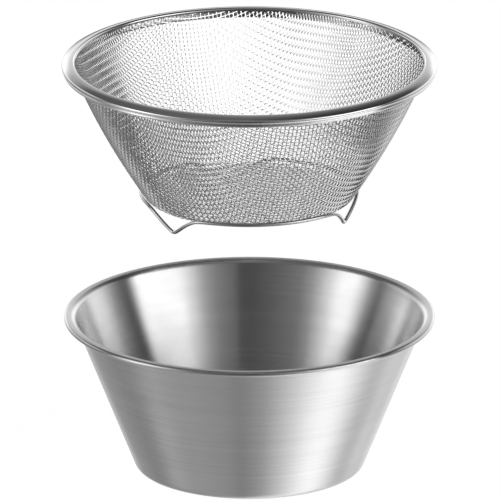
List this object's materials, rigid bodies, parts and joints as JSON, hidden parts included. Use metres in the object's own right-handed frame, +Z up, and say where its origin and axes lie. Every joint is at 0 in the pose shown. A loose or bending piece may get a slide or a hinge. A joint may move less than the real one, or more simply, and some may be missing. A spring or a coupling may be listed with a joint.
{
  "type": "wire sieve with bowl",
  "caption": "Round woven-wire sieve basket with a rolled rim and a bent-wire foot ring, held above a rolled-rim steel bowl that it drops into for straining.",
  "frame": {"origin": "centre of the bowl's base, on the surface that the bowl stands on", "axes": "+Z up along the common axis of bowl and sieve; +X to the right and +Y to the back as the object is seen from the front"},
  "size_m": [0.2, 0.2, 0.2266],
  "materials": {
    "bowl_steel": "fine circumferential brushing",
    "rim_steel": "polished rolled strip",
    "core_wire": "drawn wire",
    "cloth_wire": "bright drawn wire, plain weave",
    "foot_wire": "bright drawn wire",
    "weld_metal": "resistance spot welds"
  },
  "bodies": {
    "bowl": {"bowl_shell": "bowl_steel"},
    "sieve": {"sieve_rim": "rim_steel", "rim_core_wire": "core_wire", "wire_cloth": "cloth_wire", "foot_ring": "foot_wire", "weld_spots": "weld_metal"}
  },
  "joints": [
    {"name": "sieve_lift", "type": "slide", "parent": "bowl", "child": "sieve", "axis": [0, 0, 1], "range_m": [-0.1362, 0]}
  ]
}
